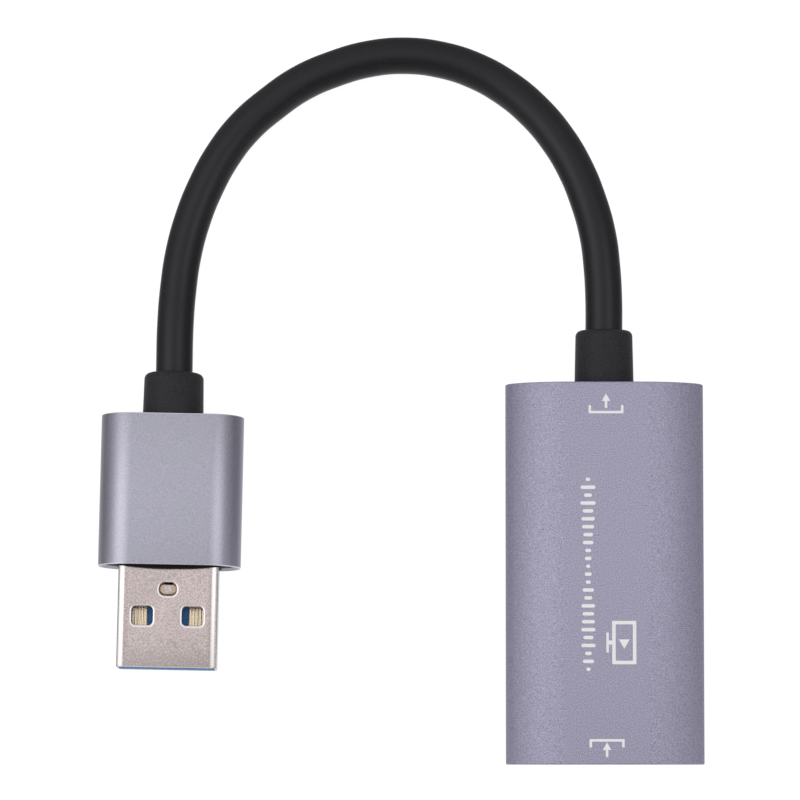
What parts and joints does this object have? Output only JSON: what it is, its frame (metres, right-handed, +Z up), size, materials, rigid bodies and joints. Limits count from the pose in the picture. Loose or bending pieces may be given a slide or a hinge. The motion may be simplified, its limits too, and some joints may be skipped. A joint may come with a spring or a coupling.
{
  "type": "video capture box",
  "caption": "Slim rounded aluminium box that takes a video cable in one end and feeds a computer through a short tethered cable with a flat serial plug.",
  "frame": {"origin": "under the middle of the box, on the surface that its flat underside rests on", "axes": "+X across the box away from the plug, +Y along the box towards the cable's exit, +Z up"},
  "size_m": [0.0734, 0.089, 0.011],
  "materials": {
    "box_aluminium": "bead-blasted and anodised in a lilac grey",
    "sleeve_aluminium": "bead-blasted and anodised in a light grey",
    "black_plastic": "fine moulded grain",
    "socket_plastic": "moulded, dull",
    "boot_rubber": "fine moulded grain",
    "jacket_rubber": "satin",
    "plated_steel": "nickel plated",
    "blue_plastic": "moulded, dull",
    "gold_contacts": "gold flash",
    "board_laminate": "green solder mask",
    "chip_resin": "moulded, dull",
    "tinned_leads": "tinned",
    "capacitor_ceramic": "fired, dull",
    "resistor_ceramic": "glazed",
    "red_insulation": "extruded",
    "black_insulation": "extruded",
    "white_insulation": "extruded",
    "foil_wrap": "foil"
  },
  "bodies": {
    "root": {"box_tube": "box_aluminium", "input_cap": "black_plastic", "output_cap": "black_plastic", "circuit_board": "board_laminate", "socket_shell": "plated_steel", "socket_insulator": "socket_plastic", "upper_socket_contacts": "gold_contacts", "lower_socket_contacts": "gold_contacts", "capture_chip": "chip_resin", "capture_chip_leads": "tinned_leads", "memory_chip": "chip_resin", "memory_chip_leads": "tinned_leads", "clock_crystal": "plated_steel", "voltage_regulators": "chip_resin", "voltage_regulator_leads": "tinned_leads", "surge_protectors": "chip_resin", "capacitors": "capacitor_ceramic", "resistors": "resistor_ceramic", "box_boot": "boot_rubber", "cable_jacket": "jacket_rubber", "power_wires": "red_insulation", "ground_wires": "black_insulation", "data_wires": "white_insulation", "fast_wires": "foil_wrap", "plug_boot": "boot_rubber", "plug_core": "black_plastic", "plug_sleeve": "sleeve_aluminium", "plug_shell": "plated_steel", "plug_insulator": "blue_plastic", "plug_contacts": "gold_contacts", "plug_fast_contacts": "gold_contacts"}
  },
  "joints": []
}
